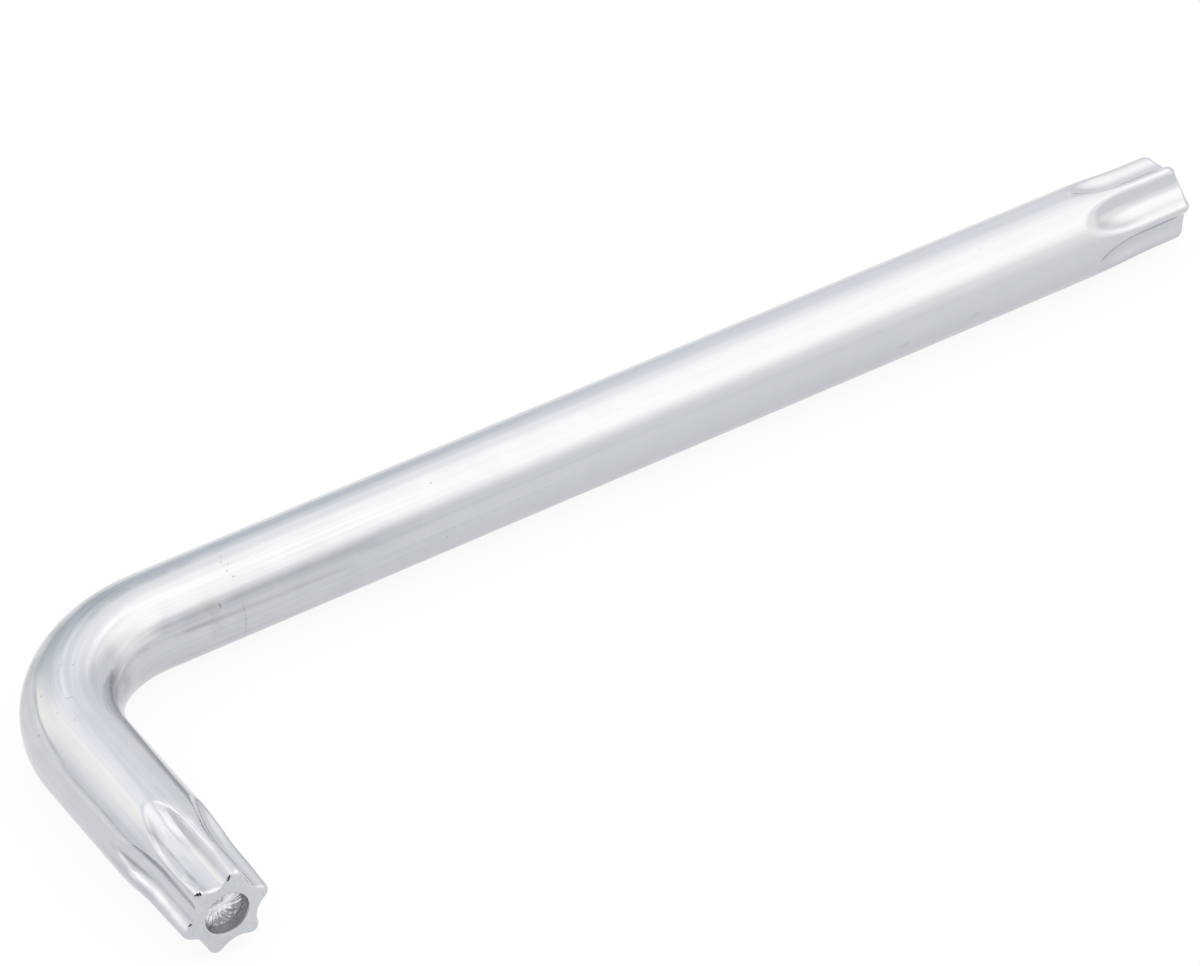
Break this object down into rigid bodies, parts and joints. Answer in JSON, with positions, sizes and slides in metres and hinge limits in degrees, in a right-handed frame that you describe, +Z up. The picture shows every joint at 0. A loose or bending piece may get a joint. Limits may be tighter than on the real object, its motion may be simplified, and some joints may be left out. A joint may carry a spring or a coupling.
{
  "type": "star key",
  "caption": "L-shaped star key: a round bar bent square, with a fluted star drive pressed onto each tip and a shallow hole for a security pin in the short end face.",
  "frame": {"origin": "middle of the footprint, on the surface that the key lies on", "axes": "+X along the long arm towards its tip, -Y along the short arm towards its tip, +Z up from the surface that the key lies on"},
  "size_m": [0.1362, 0.0438, 0.0095],
  "materials": {
    "chrome": "satin chrome plate over bright steel, with fine lengthwise draw lines"
  },
  "bodies": {
    "root": {"star_key": "chrome"}
  },
  "joints": []
}
